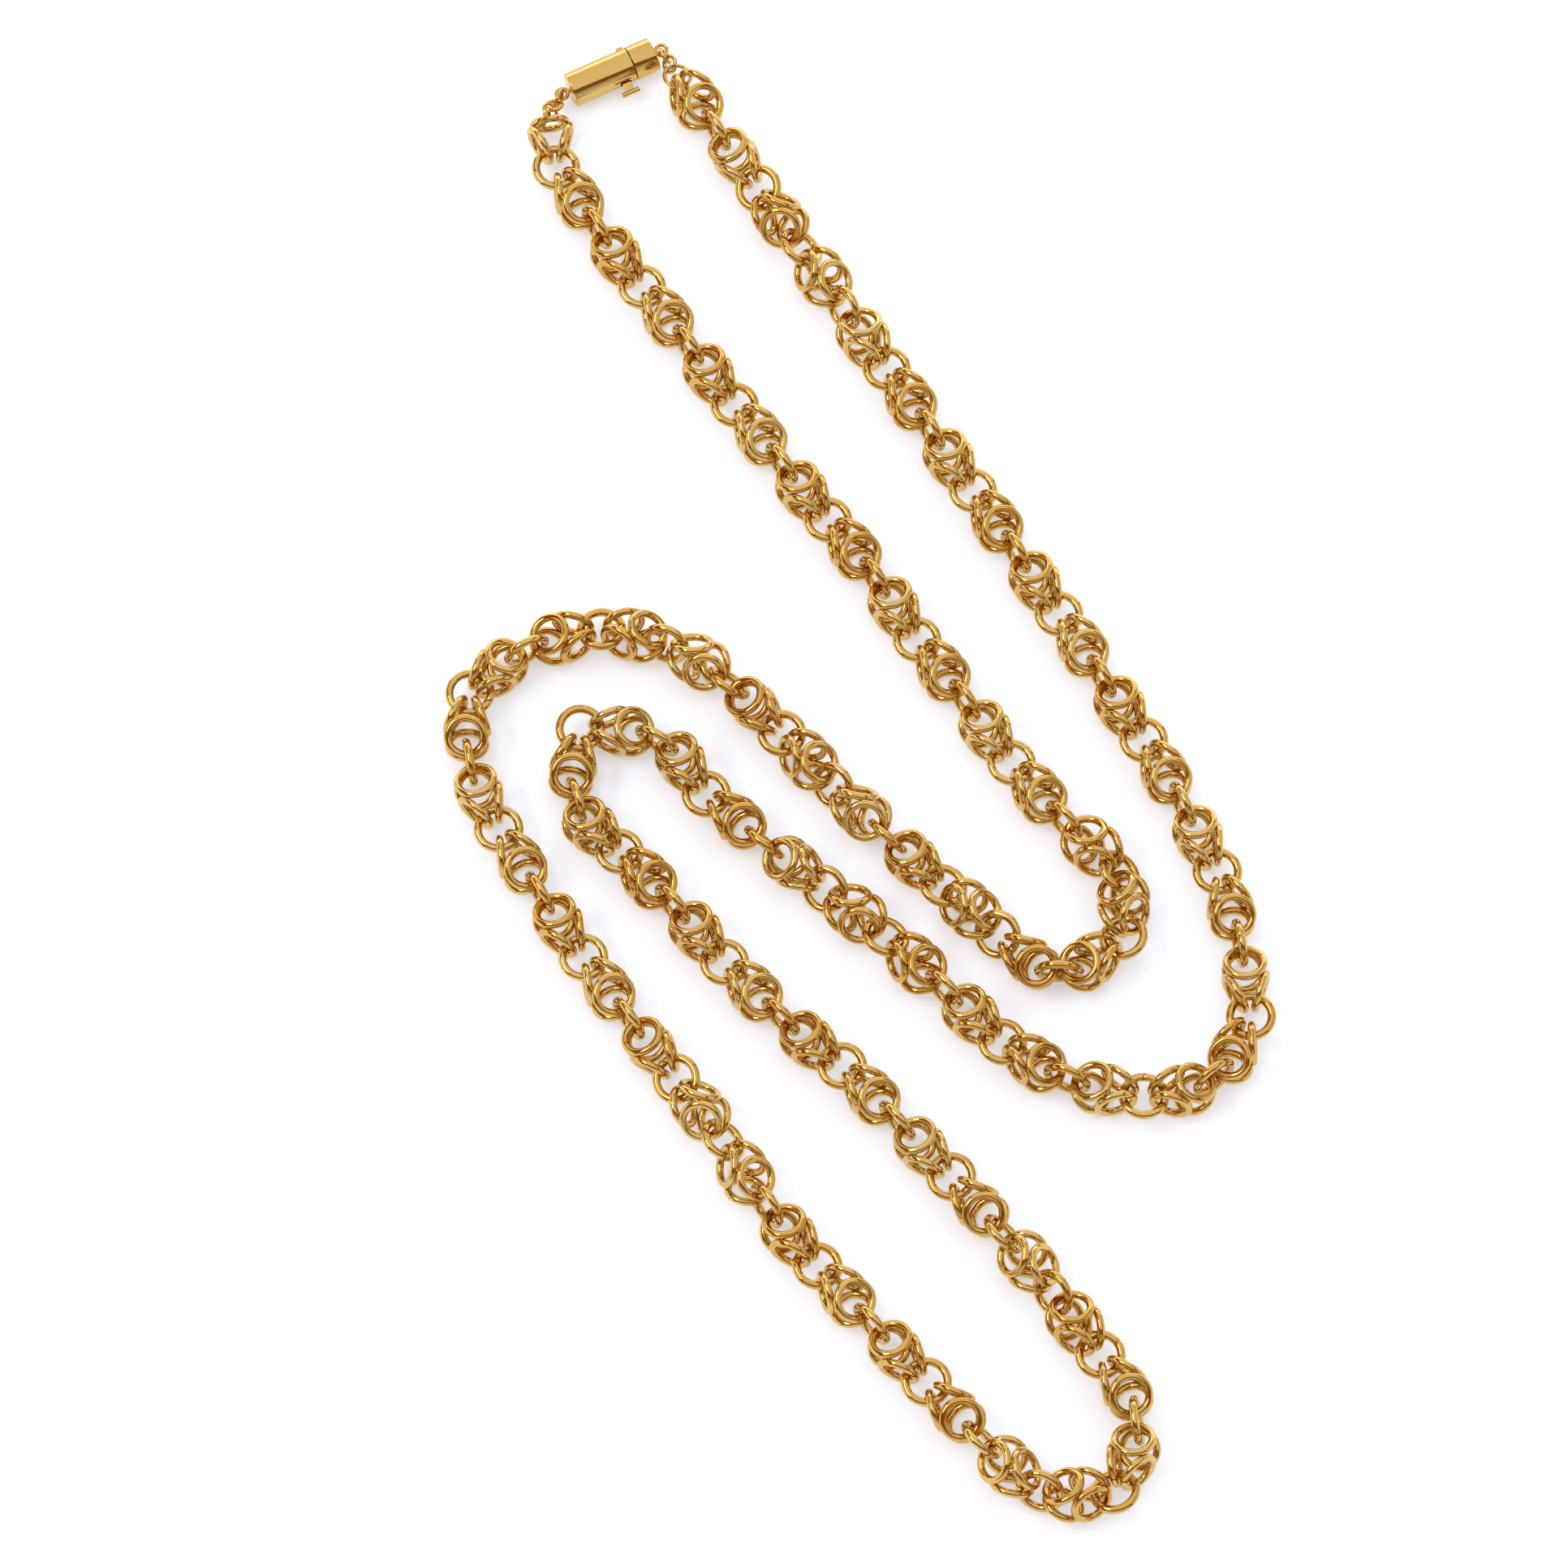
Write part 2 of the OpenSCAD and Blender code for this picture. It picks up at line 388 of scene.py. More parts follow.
def copy_of(template: bpy.types.Object, name: str, matrix: Matrix, tone: float) -> bpy.types.Object:
    """Copies a modelled shape, with a mesh of its own.

    Args:
        template: Shape that was modelled once.
        name: Name of the copy.
        matrix: Where it goes.
        tone: Its share of the deeper gold.

    Returns:
        The copy.
    """
    made = bpy.data.objects.new(name, template.data.copy())
    bpy.context.collection.objects.link(made)
    place_in_mesh(made, matrix)
    set_tone(made, tone)
    return made


def join(name: str, parts: Iterable[bpy.types.Object]) -> bpy.types.Object:
    """Joins parts into one piece.

    Args:
        name: Name of the piece.
        parts: What it is joined from.

    Returns:
        The piece.
    """
    found = list(parts)
    select_only(*found)
    bpy.ops.object.join()
    piece = bpy.context.view_layer.objects.active
    piece.name = name
    piece.data.name = name
    return piece


@dataclass
class WireRing:
    """Round wire bent to a ring in the plane z = 0."""

    radius: float
    wire: float
    around: int = 36
    across: int = 12
    seam: bool = False
    seam_width: float = 0.12
    seam_depth: float = 0.07

    def model(self, name: str) -> bpy.types.Object:
        """Models the ring, with the butt seam of its two wire ends where it has one.

        Args:
            name: Name of the ring.

        Returns:
            The ring, its seam on the +x side.
        """
        bpy.ops.mesh.primitive_torus_add(
            major_segments=self.around,
            minor_segments=self.across,
            major_radius=self.radius * MM,
            minor_radius=self.wire / 2 * MM,
        )
        ring = bpy.context.active_object
        ring.name = name
        settle(ring)
        if self.seam:
            self._cut_seam(ring)
        smooth(ring, WIRE_CREASE)
        return ring

    def _cut_seam(self, ring: bpy.types.Object) -> None:
        """Presses a hairline groove into the wire where its ends meet."""

        def at_seam(a: Vector, b: Vector) -> bool:
            """Says whether an edge lies where the wire's ends meet."""
            return abs(a.y) < NEAR and abs(b.y) < NEAR and a.x > 0 and b.x > 0

        select_edges(ring, at_seam)
        bpy.ops.mesh.bevel(offset=self.seam_width / 2 * MM, segments=2, affect="EDGES")
        leave_edit()
        for point in ring.data.vertices:
            if abs(point.co.y) < NEAR and point.co.x > 0:
                middle = Vector((self.radius * MM, 0, 0))
                share = 1 - 2 * self.seam_depth / self.wire
                point.co = middle + (point.co - middle) * share


@dataclass
class Course:
    """Line that the chain lies on, and how its knots and rings are rolled."""

    knots: int = 78
    middle: tuple[float, float] = (11.79, 4.65)
    rows: list[CourseRow] = field(default_factory=lambda: [CourseRow(*r) for r in COURSE_ROWS])
    twists: list[TwistRow] = field(default_factory=lambda: [TwistRow(*r) for r in TWIST_ROWS])
    knot_wire: float = 1.28
    knot_radius: float = 3.0
    wide_half: float = 3.36
    narrow_half: float = 0.8
    ring_wire: float = 1.38
    ring_radius: float = 3.38
    end_ring_radius: float = 2.75
    end_ring_shift: float = 1.585
    end_ring_lean: float = 6.0
    flat_above: float = 0.5

    def __post_init__(self) -> None:
        """Works out the turning points and the axes of the knots."""
        self.pair_half = (self.wide_half + self.narrow_half) / 2
        self.pair_tilt = math.asin((self.wide_half - self.narrow_half) / 2 / self.knot_radius)
        self.turns = [self._course(k) - Vector(self.middle) for k in range(self.knots + 1)]
        steps = [self.turns[max(k, 1)] - self.turns[max(k, 1) - 1] for k in range(self.knots + 1)]
        self.axes = [step.normalized() for step in steps]

    def _slope(self, i: int) -> Vector:
        """Slope of the course at a row."""
        a, b = self.rows[max(i - 1, 0)], self.rows[min(i + 1, len(self.rows) - 1)]
        return Vector((b.x - a.x, b.y - a.y)) / (b.ring - a.ring)

    def _course(self, k: int) -> Vector:
        """Smooth curve through the rows, at connecting ring k."""
        i = 0
        while i + 2 < len(self.rows) and self.rows[i + 1].ring <= k:
            i += 1
        a, b = self.rows[i], self.rows[i + 1]
        span = b.ring - a.ring
        t = (k - a.ring) / span
        return (
            (2 * t**3 - 3 * t**2 + 1) * Vector((a.x, a.y))
            + (t**3 - 2 * t**2 + t) * span * self._slope(i)
            + (3 * t**2 - 2 * t**3) * Vector((b.x, b.y))
            + (t**3 - t**2) * span * self._slope(i + 1)
        )

    def _twist(self, k: float) -> float:
        """Twist in degrees at connecting ring k."""
        rows = self.twists
        if k <= rows[0].ring:
            return rows[0].degrees
        for a, b in zip(rows, rows[1:]):
            if k <= b.ring:
                return a.degrees + (b.degrees - a.degrees) * (k - a.ring) / (b.ring - a.ring)
        return rows[-1].degrees

    def ring_roll(self, k: int) -> float:
        """Roll of a connecting ring about the chain, in degrees."""
        return 90 * k + self._twist(k)

    def knot_roll(self, k: int) -> float:
        """Roll of a knot about the chain, in degrees."""
        return 90 * k + (self._twist(k) + self._twist(k - 1)) / 2

    def _pair_rise(self, c: float) -> float:
        """Height that a pair of rings needs below the knot's axis."""
        return (
            abs(c) * self.pair_half
            + self.knot_radius * math.sqrt(1 - (math.cos(self.pair_tilt) * c) ** 2)
            + self.knot_wire / 2
        )

    def knot_height(self, k: int) -> float:
        """Height of a knot's axis when it rests on the surface."""
        roll = math.radians(self.knot_roll(k))
        return max(self._pair_rise(math.cos(roll)), self._pair_rise(math.sin(roll)))

    def ring_height(self, k: int) -> float:
        """Height of a connecting ring's middle."""
        mean = (self.knot_height(k) + self.knot_height(k + 1)) / 2
        return max(mean, self.ring_radius + self.ring_wire / 2)

    def lies(self, k: int) -> Roll:
        """Says whether a connecting ring lies flat or stands upright."""
        flat = abs(math.cos(math.radians(self.ring_roll(k)))) > self.flat_above
        return Roll.FLAT if flat else Roll.UPRIGHT

    def knot_matrix(self, k: int) -> Matrix:
        """Place and turn of a knot, in metres."""
        spot = (self.turns[k - 1] + self.turns[k]) / 2
        return (
            Matrix.Translation(Vector((spot.x, spot.y, self.knot_height(k))) * MM)
            @ Matrix.Rotation(math.atan2(self.axes[k].y, self.axes[k].x), 4, "Z")
            @ Matrix.Rotation(math.radians(self.knot_roll(k)), 4, "X")
        )

    def ring_matrix(self, k: int) -> Matrix:
        """Place and turn of a connecting ring, in metres."""
        roll = math.radians(self.ring_roll(k))
        shift = math.sin(roll) ** 2 * self.ring_radius / 2
        spot = self.turns[k] + shift * (self.axes[k + 1] - self.axes[k])
        way = self.axes[k] + self.axes[k + 1]
        return (
            Matrix.Translation(Vector((spot.x, spot.y, self.ring_height(k))) * MM)
            @ Matrix.Rotation(math.atan2(way.y, way.x), 4, "Z")
            @ Matrix.Rotation(roll, 4, "X")
        )


@dataclass
class Knot:
    """Four wire rings soldered into one link: two splayed pairs, a quarter turn apart."""

    course: Course
    pair_shift: float = 2.165

    def _ring(self, name: str) -> bpy.types.Object:
        """Models one of the knot's rings."""
        return WireRing(self.course.knot_radius, self.course.knot_wire).model(name)

    def _pair(self, second: bool) -> list[bpy.types.Object]:
        """Models one splayed pair of rings."""
        half, tilt = self.course.pair_half * MM, self.course.pair_tilt
        shift = self.pair_shift * MM
        rings = []
        for side in (-1, 1):
            ring = self._ring("pair_ring")
            if second:
                turn = Matrix.Rotation(-side * tilt, 4, "Z") @ Matrix.Rotation(math.pi / 2, 4, "X")
                spot = Vector((shift, side * half, 0))
            else:
                turn = Matrix.Rotation(-side * tilt, 4, "Y")
                spot = Vector((-shift, 0, side * half))
            place_in_mesh(ring, Matrix.Translation(spot) @ turn)
            rings.append(ring)
        return rings

    @staticmethod
    def _solder(name: str, rings: list[bpy.types.Object]) -> bpy.types.Object:
        """Melts rings together where they touch."""
        body, *others = rings
        for other in others:
            combine(body, other, "UNION")
        body.name = name
        smooth(body, WIRE_CREASE)
        return body

    def model(self) -> bpy.types.Object:
        """Models the whole knot.

        Returns:
            The knot, its axis along x.
        """
        return self._solder("knot_pattern", self._pair(False) + self._pair(True))

    def model_end(self) -> bpy.types.Object:
        """Models the last knot, which has one leaning ring in place of its outer pair.

        Returns:
            The end knot, its axis along x.
        """
        c = self.course
        upright = WireRing(c.end_ring_radius, c.knot_wire).model("end_ring")
        place_in_mesh(
            upright,
            Matrix.Rotation(-math.radians(c.knot_roll(c.knots)), 4, "X")
            @ Matrix.Translation(Vector((c.end_ring_shift * MM, 0, 0)))
            @ Matrix.Rotation(math.radians(90 - c.end_ring_lean), 4, "Y"),
        )
        return self._solder("end_knot_pattern", self._pair(False) + [upright])


@dataclass
class Chain:
    """Both halves of the chain, which meet at the middle knot."""

    course: Course
    gold: bpy.types.Material
    half: int = 39
    open_seams: tuple[int, ...] = (14, 17, 37, 45, 53, 63, 77)
    ring_tone_shift: int = 40

    def build(self) -> list[bpy.types.Object]:
        """Models a knot and a connecting ring once, and lays copies along the course.

        Returns:
            The right and the left half.
        """
        maker = Knot(self.course)
        knot, end = maker.model(), maker.model_end()
        ring = WireRing(self.course.ring_radius, self.course.ring_wire, seam=True).model(
            "connecting_ring_pattern"
        )
        last = self.course.knots
        right = [self._knot(knot, k) for k in range(1, self.half + 1)]
        right += [self._ring(ring, k) for k in range(1, self.half)]
        left = [self._knot(knot, k) for k in range(self.half + 1, last)]
        left += [self._ring(ring, k) for k in range(self.half, last)]
        left.append(copy_of(end, "end_knot", self.course.knot_matrix(last), tone_of(last)))
        for pattern in (knot, end, ring):
            bpy.data.objects.remove(pattern, do_unlink=True)
        halves = [join("right_half_of_chain", right), join("left_half_of_chain", left)]
        for piece, node in zip(halves, ("chain_right", "chain_left")):
            dress(piece, self.gold, NECKLACE_BODY, node)
        return halves

    def _knot(self, pattern: bpy.types.Object, k: int) -> bpy.types.Object:
        """Lays one knot."""
        return copy_of(pattern, f"knot_{k}", self.course.knot_matrix(k), tone_of(k))

    def _ring(self, pattern: bpy.types.Object, k: int) -> bpy.types.Object:
        """Lays one connecting ring, its seam at the side where it shows and else in a knot."""
        shows = k in self.open_seams
        quarter = math.pi / 2 if self.course.lies(k) is Roll.FLAT else -math.pi / 2
        turn = Matrix.Rotation(quarter if shows else 0.0, 4, "Z")
        matrix = self.course.ring_matrix(k) @ turn
        tone = tone_of(k + self.ring_tone_shift)
        return copy_of(pattern, f"connecting_ring_{k}", matrix, tone)


def dress(
    piece: bpy.types.Object, gold: bpy.types.Material, body: str, node: str
) -> bpy.types.Object:
    """Gives a piece its gold, its body and the solid that it stands for.

    Args:
        piece: Finished piece.
        gold: Its material.
        body: CAD body that it rides on.
        node: CAD node that it replaces.

    Returns:
        The same piece.
    """
    piece.data.materials.clear()
    piece.data.materials.append(gold)
    for face in piece.data.polygons:
        face.material_index = 0
    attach(piece, body)
    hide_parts(node)
    piece.data.calc_loop_triangles()
    LOG.info("%s: %d triangles", piece.name, len(piece.data.loop_triangles))
    return piece


@dataclass
class Clasp:
    """Barrel clasp: a long half, a cap with a snap tongue, and a T-shaped press."""

    gold: bpy.types.Material
    middle: tuple[float, float] = (-40.61, 122.44)
    turn: float = 26.0
    barrel_d: float = 5.9
    length: float = 15.4
    barrel_length: float = 11.1
    seam_gap: float = 0.12
    wall: float = 0.7
    edge: float = 0.18
    fine_wire: float = 0.66
    eye_radius: float = 0.95
    eye_reach: float = 1.5
    slot_long: float = 2.0
    slot_high: float = 1.0
    thumb_back: float = 2.1
    tongue_wide: float = 2.2
    tongue_thick: float = 0.8
    tongue_reach: float = 5.0
    stem_long: float = 1.6
    stem_high: float = 0.6
    plate_long: float = 2.6
    plate_thick: float = 0.4
    plate_out: float = 2.0
    bar_out: float = 4.75
    bar_d: float = 0.86
    bar_long: float = 3.1
    lug_long: float = 1.2
    lug_d: float = 0.8
    lug_turn: float = 20.0
    lug_back: float = 0.1
    lug_sink: float = 0.05
    lug_round: float = 0.1
    slot_over: float = 1.0
    slot_under: float = 0.4
    slot_round: float = 0.12
    tongue_round: float = 0.12
    stem_round: float = 0.08
    plate_round: float = 0.06
    bar_round: float = 0.14
    rim_band: float = 0.05
    neck_extra: float = 0.1
    tube_sides: int = 160
    rod_sides: int = 32
    bar_sides: int = 40
    tone: float = 0.25

    def __post_init__(self) -> None:
        """Works out where the halves start and end on the clasp's axis."""
        self.barrel_r = self.barrel_d / 2
        self.start = -self.length / 2
        self.end = self.length / 2
        self.seam = self.start + self.barrel_length
        self.thumb_at = self.seam - self.thumb_back

    def matrix(self) -> Matrix:
        """Place and turn of the clasp, in metres."""
        spot = Vector((self.middle[0], self.middle[1], self.barrel_r)) * MM
        return Matrix.Translation(spot) @ Matrix.Rotation(math.radians(self.turn), 4, "Z")

    def point(self, along: float) -> Vector:
        """A point on the clasp's axis, in millimetres."""
        a = math.radians(self.turn)
        x, y = self.middle
        return Vector((x + along * math.cos(a), y + along * math.sin(a), self.barrel_r))

    def _rod(self, a: float, b: float, d: float, sides: int) -> bpy.types.Object:
        """Models a round rod on the x axis from a to b."""
        bpy.ops.mesh.primitive_cylinder_add(
            vertices=sides,
            radius=d / 2 * MM,
            depth=(b - a) * MM,
            location=((a + b) / 2 * MM, 0, 0),
            rotation=(0, math.pi / 2, 0),
        )
        rod = bpy.context.active_object
        settle(rod)
        return rod

    def _block(
        self, low: Iterable[float], high: Iterable[float], round_mm: float
    ) -> bpy.types.Object:
        """Models a flat bar between two corners, with rounded edges."""
        lo, hi = Vector(low) * MM, Vector(high) * MM
        bpy.ops.mesh.primitive_cube_add(size=1, location=(lo + hi) / 2)
        block = bpy.context.active_object
        block.scale = hi - lo
        settle(block)
        apply_modifier(block, "BEVEL", width=round_mm * MM, segments=3)
        return block

    def _cup(self, closed: float, mouth: float) -> bpy.types.Object:
        """Models a hollow half barrel by inset and extrude, with its rims eased.

        Args:
            closed: Place of the closed end on the axis.
            mouth: Place of the open end.

        Returns:
            The cup.
        """
        way = 1 if mouth > closed else -1
        cup = self._rod(min(closed, mouth), max(closed, mouth), self.barrel_d, self.tube_sides)
        select_faces(cup, lambda centre, normal: normal.x * way > END_FACING)
        bpy.ops.mesh.inset(thickness=self.wall * MM)
        depth = (abs(mouth - closed) - self.wall) * MM
        bpy.ops.mesh.extrude_region_move(TRANSFORM_OT_translate={"value": (-way * depth, 0, 0)})
        leave_edit()
        outer = (self.barrel_r - self.rim_band) * MM

        def at_rim(place: float) -> Callable[[Vector, Vector], bool]:
            """Makes the test for edges on the outer rim at a place on the axis."""
            return lambda a, b: all(
                abs(p.x - place * MM) < NEAR and math.hypot(p.y, p.z) > outer for p in (a, b)
            )

        for place, width in ((closed, self.edge), (mouth, self.edge / 2)):
            select_edges(cup, at_rim(place))
            bpy.ops.mesh.bevel(offset=width * MM, segments=4, affect="EDGES")
            leave_edit()
        return cup

    def _eye(self, disc: float, way: int) -> list[bpy.types.Object]:
        """Models a wire eye and its short neck, standing out from a disc.

        Args:
            disc: Place of the disc on the axis.
            way: Direction that the eye stands out in, -1 or 1.

        Returns:
            The eye's ring and neck.
        """
        ring = WireRing(self.eye_radius, self.fine_wire, around=40, across=16).model("eye_ring")
        place_in_mesh(ring, Matrix.Translation(Vector(((disc + way * self.eye_reach) * MM, 0, 0))))
        inner = disc - way * self.wall / 2
        outer = disc + way * (self.eye_reach - self.eye_radius + self.fine_wire / 4)
        thick = self.fine_wire + self.neck_extra
        neck = self._rod(min(inner, outer), max(inner, outer), thick, self.rod_sides)
        return [ring, neck]

    def _finish(self, piece: bpy.types.Object, name: str, body: str, node: str) -> bpy.types.Object:
        """Shades, places and dresses a piece of the clasp."""
        piece.name = name
        piece.data.name = name
        set_tone(piece, self.tone)
        place_in_mesh(piece, self.matrix())
        smooth(piece, CLASP_CREASE)
        return dress(piece, self.gold, body, node)

    def build_barrel(self) -> bpy.types.Object:
        """Models the long half with its slot, eye and lug.

        Returns:
            The barrel.
        """
        barrel = self._cup(self.start, self.seam)
        outside = -self.barrel_r - self.slot_over
        inside = -self.barrel_r + self.wall + self.slot_under
        slot = self._block(
            (self.thumb_at - self.slot_long / 2, outside, -self.slot_high / 2),
            (self.thumb_at + self.slot_long / 2, inside, self.slot_high / 2),
            self.slot_round,
        )
        combine(barrel, slot, "DIFFERENCE")
        lug = self._rod(
            self.seam - self.lug_long - self.lug_back,
            self.seam - self.lug_back,
            self.lug_d,
            self.rod_sides,
        )
        apply_modifier(lug, "BEVEL", width=self.lug_round * MM, segments=3, limit_method="ANGLE")
        place_in_mesh(
            lug,
            Matrix.Rotation(math.radians(self.lug_turn), 4, "X")
            @ Matrix.Translation(Vector((0, (self.barrel_r - self.lug_sink) * MM, 0))),
        )
        for part in (lug, *self._eye(self.start, -1)):
            combine(barrel, part, "UNION")
        return self._finish(barrel, "barrel_half", NECKLACE_BODY, "clasp_barrel")

    def build_cap(self) -> bpy.types.Object:
        """Models the cap with its snap tongue and eye.

        Returns:
            The cap.
        """
        cap = self._cup(self.end, self.seam + self.seam_gap)
        tongue = self._block(
            (self.seam - self.tongue_reach, -self.tongue_thick / 2, -self.tongue_wide / 2),
            (self.end - self.wall / 2, self.tongue_thick / 2, self.tongue_wide / 2),
            self.tongue_round,
        )
        for part in (tongue, *self._eye(self.end, 1)):
            combine(cap, part, "UNION")
        return self._finish(cap, "cap_half", NECKLACE_BODY, "clasp_cap")

    def build_thumb(self) -> bpy.types.Object:
        """Models the T-shaped press: rolled bar, stem and inner plate.

        Returns:
            The thumb piece.
        """
        at = self.thumb_at
        stem = self._block(
            (at - self.stem_long / 2, -self.bar_out, -self.stem_high / 2),
            (at + self.stem_long / 2, -self.plate_out + self.plate_thick / 2, self.stem_high / 2),
            self.stem_round,
        )
        plate = self._block(
            (at - self.plate_long / 2, -self.plate_out, -self.stem_high / 2),
            (at + self.plate_long / 2, -self.plate_out + self.plate_thick, self.stem_high / 2),
            self.plate_round,
        )
        left, right = at - self.bar_long / 2, at + self.bar_long / 2
        bar = self._rod(left, right, self.bar_d, self.bar_sides)
        apply_modifier(bar, "BEVEL", width=self.bar_round * MM, segments=4, limit_method="ANGLE")
        place_in_mesh(bar, Matrix.Translation(Vector((0, -self.bar_out * MM, 0))))
        for part in (plate, bar):
            combine(stem, part, "UNION")
        return self._finish(stem, "thumb_press", THUMB_BODY, "thumb_piece")


class RunRow(NamedTuple):
    """One jump ring on the way from an eye to the chain, where a minus counts from the chain."""

    letter: str
    distance: float
    turned: float
    radius: float


LEFT_RUN = (
    RunRow("a", 1.42, 89.5, 1.51),
    RunRow("b", 3.49, 15, 1.35),
    RunRow("c", 5.18, -35, 1.37),
    RunRow("d", -0.38, 87.5, 1.68),
)
RIGHT_RUN = (
    RunRow("e", 1.33, -68, 1.3),
    RunRow("f", 3.2, 52, 1.38),
    RunRow("g", -1.48, -11, 2.19),
)


@dataclass
class JumpRings:
    """Seven fine rings that join the chain's ends to the clasp's eyes."""

    course: Course
    clasp: Clasp
    gold: bpy.types.Material
    end_ring_angle: float = -19.0
    right_hold: float = 3.84

    def _left_end(self) -> Vector:
        """Place on the end ring's wire that holds the last ring, in millimetres."""
        c, last = self.course, self.course.knots
        angle, lean = math.radians(self.end_ring_angle), math.radians(c.end_ring_lean)
        axis = c.axes[last]
        flat = Vector((axis.y, -axis.x)) * math.sin(angle) - axis * math.sin(lean) * math.cos(angle)
        spot = (c.turns[last - 1] + c.turns[last]) / 2 + c.end_ring_shift * axis
        spot += c.end_ring_radius * flat
        rise = c.knot_height(last) + c.end_ring_radius * math.cos(lean) * math.cos(angle)
        return Vector((spot.x, spot.y, rise))

    def _right_end(self) -> Vector:
        """Inside of the first knot's closed end, in millimetres."""
        c = self.course
        hold = (c.turns[0] + c.turns[1]) / 2 - self.right_hold * c.axes[1]
        return Vector((hold.x, hold.y, c.knot_height(1)))

    def build(self) -> list[bpy.types.Object]:
        """Models the rings on both lines.

        Returns:
            The seven rings.
        """
        reach = self.clasp.eye_reach
        left_from = self.clasp.point(self.clasp.start - reach)
        right_from = self.clasp.point(self.clasp.end + reach)
        runs = ((LEFT_RUN, left_from, self._left_end()), (RIGHT_RUN, right_from, self._right_end()))
        rings = []
        for rows, start, end in runs:
            for row in rows:
                back = (end - start).length if row.distance < 0 else 0.0
                rings.append(
                    self._ring(row.letter, start, end, back + row.distance, row.turned, row.radius)
                )
        return rings

    def _ring(
        self, letter: str, a: Vector, b: Vector, distance: float, turned: float, radius: float
    ) -> bpy.types.Object:
        """Models one ring on the line from a to b.

        Args:
            letter: Which ring it is.
            a: Start of the line, in millimetres.
            b: End of the line, in millimetres.
            distance: How far along the line its middle is.
            turned: Turn about the line, in degrees.
            radius: Radius to the middle of its wire.

        Returns:
            The ring.
        """
        way = (b - a).normalized()
        ring = WireRing(
            radius, self.clasp.fine_wire, around=48, across=16, seam=True, seam_depth=0.04
        ).model(f"fine_ring_{letter}")
        set_tone(ring, tone_of(ord(letter)))
        place_in_mesh(
            ring,
            Matrix.Translation((a + distance * way) * MM)
            @ Matrix.Rotation(math.atan2(way.y, way.x), 4, "Z")
            @ Matrix.Rotation(-math.asin(way.z), 4, "Y")
            @ Matrix.Rotation(math.radians(turned), 4, "X"),
        )
        return dress(ring, self.gold, NECKLACE_BODY, f"jump_ring_{letter}")


class Panel(NamedTuple):
    """Soft light panel: middle, point it faces, width and height in metres, brightness."""

    name: str
    spot: tuple[float, float, float]
    aim: tuple[float, float, float]
    size: tuple[float, float]
    level: float
    colour: str = "#FFFFFF"


PANELS = (
    Panel("ceiling_front", (0.4, 0.03, 1.75), (0.4, 0.03, 0.0), (2.6, 1.84), 0.98, "#D4EBFF"),
    Panel("ceiling_back", (0.0, 1.99, 1.75), (0.0, 1.99, 0.0), (3.4, 2.08), 0.93, "#D8EDFF"),
    Panel("key_softbox", (-1.17, 0.0, 1.62), (0.0, 0.0, 0.0), (1.2, 0.5), 4.0),
    Panel("back_wall", (0.0, 1.9, 0.5), (0.0, 0.0, 0.5), (3.4, 1.0), 1.2, "#DDF0FF"),
    Panel("back_strip", (0.0, 1.85, 0.17), (0.0, 0.0, 0.17), (3.4, 0.34), 1.2),
    Panel("front_low", (0.0, -1.4, 0.18), (0.0, 0.0, 0.18), (3.0, 0.36), 0.98, "#C6E6FF"),
    Panel("front_high", (0.0, -1.4, 0.7), (0.0, 0.0, 0.35), (3.0, 0.68), 0.62, "#ABDDFF"),
    Panel("left_wall", (-1.8, 0.3, 0.35), (0.0, 0.3, 0.3), (2.6, 0.7), 1.2, "#CEE9FF"),
    Panel("right_wall", (1.8, 0.3, 0.6), (0.0, 0.3, 0.3), (2.6, 1.2), 0.93, "#C6E6FF"),
)


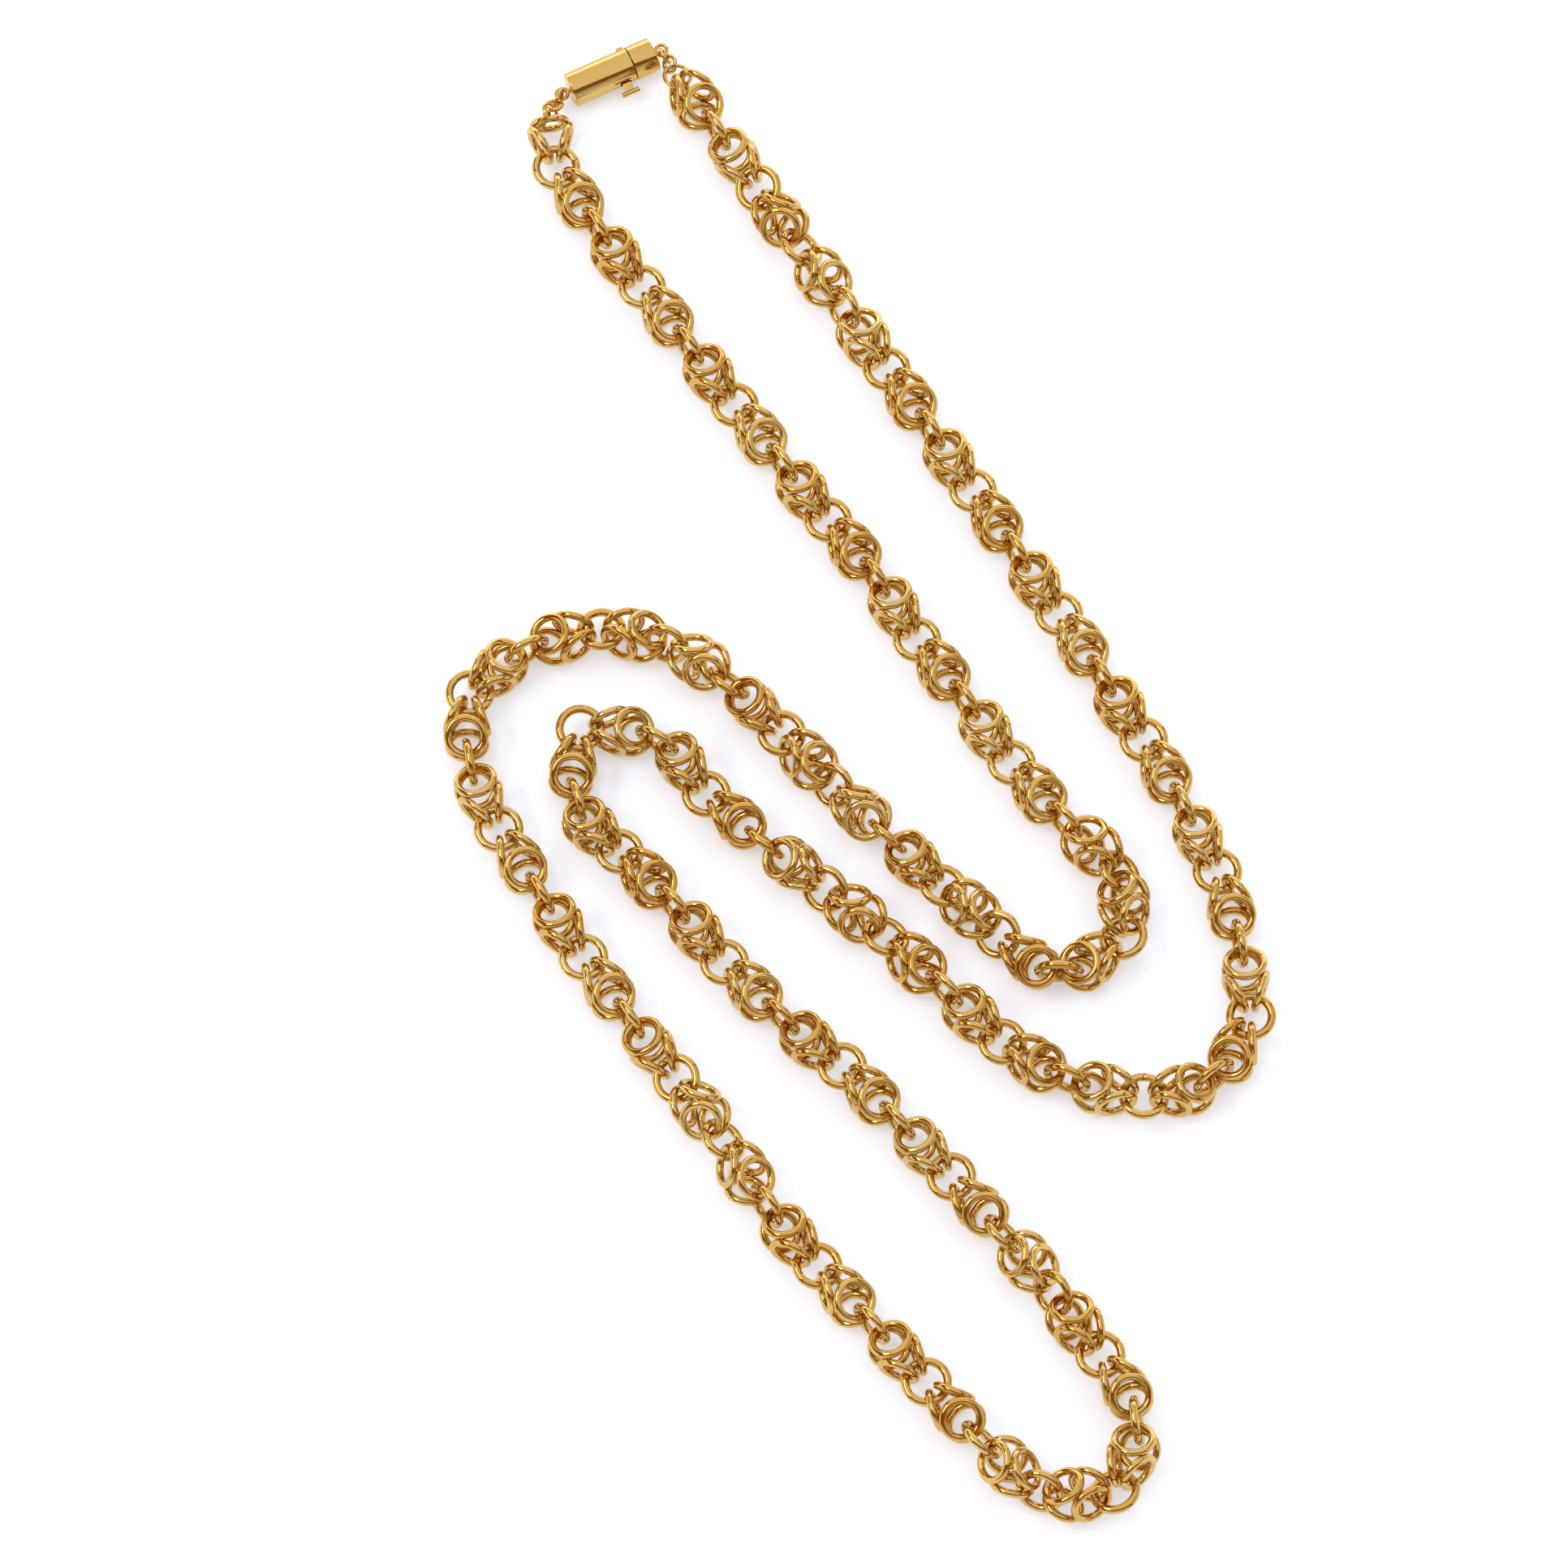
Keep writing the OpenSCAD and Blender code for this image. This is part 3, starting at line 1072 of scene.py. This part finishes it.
@dataclass
class Studio:
    """Plain pale table, soft light and the camera of the photograph."""

    target: tuple[float, float, float] = (-11.79, -4.65, 4.1)
    elevation: float = 70.0
    distance: float = 1430.0
    mm_per_pixel: float = 0.1316
    image_pixels: int = 1932
    sensor: float = 36.0
    contrast: float = 0.77
    table_size: float = 6.0
    room_colour: str = "#FFC785"
    room_strength: float = 0.38

    def build_camera(self) -> bpy.types.Object:
        """Places the camera at the photograph's angle.

        Returns:
            The camera.
        """
        lift = math.radians(self.elevation)
        back = Vector((0, -math.cos(lift), math.sin(lift)))
        data = bpy.data.cameras.new("camera")
        data.sensor_width = self.sensor
        data.lens = self.sensor * self.distance / self.mm_per_pixel / self.image_pixels
        camera = bpy.data.objects.new("camera", data)
        bpy.context.collection.objects.link(camera)
        camera.location = (Vector(self.target) + back * self.distance) * MM
        camera.rotation_mode = "QUATERNION"
        camera.rotation_quaternion = (-back).to_track_quat("-Z", "Y")
        bpy.context.scene.camera = camera
        return camera

    def build_table(self) -> bpy.types.Object:
        """Makes the pale surface that the necklace lies on.

        Returns:
            The table.
        """
        bpy.ops.mesh.primitive_plane_add(size=self.table_size)
        table = bpy.context.active_object
        table.name = "table"
        table.data.materials.append(OpalAcrylic().make())
        return table

    def build_light(self) -> None:
        """Adds a dim warm room, a ceiling, a key softbox and low panels all round.

        The dark gaps between the ceiling and the low panels, in front and at the left, draw
        the fine dark lines on the gold. The key softbox beside them gives the highlights.
        """
        world = bpy.data.worlds.new("room")
        world.use_nodes = True
        room = world.node_tree.nodes["Background"]
        room.inputs["Color"].default_value = linear(self.room_colour)
        room.inputs["Strength"].default_value = self.room_strength
        bpy.context.scene.world = world
        for panel in PANELS:
            self._softbox(panel)
        view = bpy.context.scene.view_settings
        view.view_transform = "Standard"
        view.gamma = self.contrast

    @staticmethod
    def _softbox(panel: Panel) -> bpy.types.Object:
        """Adds a rectangular soft light.

        Args:
            panel: Its place, aim, size, brightness and colour.

        Returns:
            The light.
        """
        data = bpy.data.lights.new(panel.name, "AREA")
        data.shape = "RECTANGLE"
        data.size, data.size_y = panel.size
        data.energy = panel.level * math.pi * panel.size[0] * panel.size[1]
        data.color = linear(panel.colour)[:3]
        light = bpy.data.objects.new(panel.name, data)
        bpy.context.collection.objects.link(light)
        light.location = panel.spot
        light.rotation_mode = "QUATERNION"
        way = Vector(panel.aim) - Vector(panel.spot)
        light.rotation_quaternion = way.to_track_quat("-Z", "Y")
        return light


def main() -> None:
    """Builds the necklace, then the studio."""
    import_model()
    chain_gold = PolishedGold("tumbled_yellow_gold_wire").make()
    clasp_gold = PolishedGold(
        "buffed_yellow_gold_tube", roughest=0.1, wear_mm=4.0, ripple_depth_mm=0.004
    ).make()
    course = Course()
    studio = Studio()
    studio.build_camera()
    Chain(course, chain_gold).build()
    clasp = Clasp(clasp_gold)
    clasp.build_barrel()
    clasp.build_cap()
    clasp.build_thumb()
    JumpRings(course, clasp, chain_gold).build()
    studio.build_table()
    studio.build_light()
    LOG.info("boxes written")


if __name__ == "__main__":
    main()
